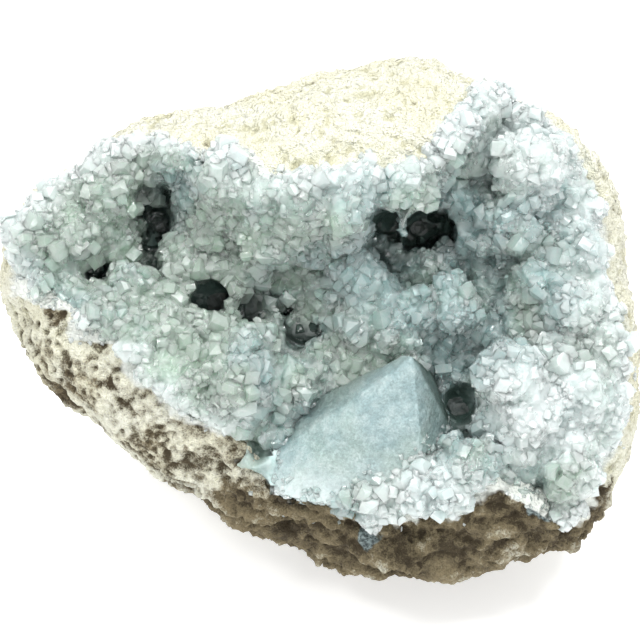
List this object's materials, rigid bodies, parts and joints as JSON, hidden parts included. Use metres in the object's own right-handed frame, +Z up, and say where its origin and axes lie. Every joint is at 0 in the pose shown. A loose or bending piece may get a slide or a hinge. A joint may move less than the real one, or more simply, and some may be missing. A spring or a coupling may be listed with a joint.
{
  "type": "celestite geode",
  "caption": "Rounded lump of cream, pitted rock broken open on one side, its hollow lined with pale blue celestite crystals and one great bladed crystal.",
  "frame": {"origin": "middle of the whole geode's base, on the surface it rests on", "axes": "+Z up; +X along the geode's length, to the right of someone who faces the broken side; -Y is the side that the open hollow looks to, 48 degrees above level"},
  "size_m": [0.1474, 0.1042, 0.1042],
  "materials": {
    "rock": "rough, pitted cream limestone with brown earthy pits, browner on the underside",
    "celestite": "milky, see-through pale blue-grey crystal, whiter at the rim and the roots"
  },
  "bodies": {
    "root": {"matrix_rock": "rock", "crystal_crust": "celestite"}
  },
  "joints": []
}
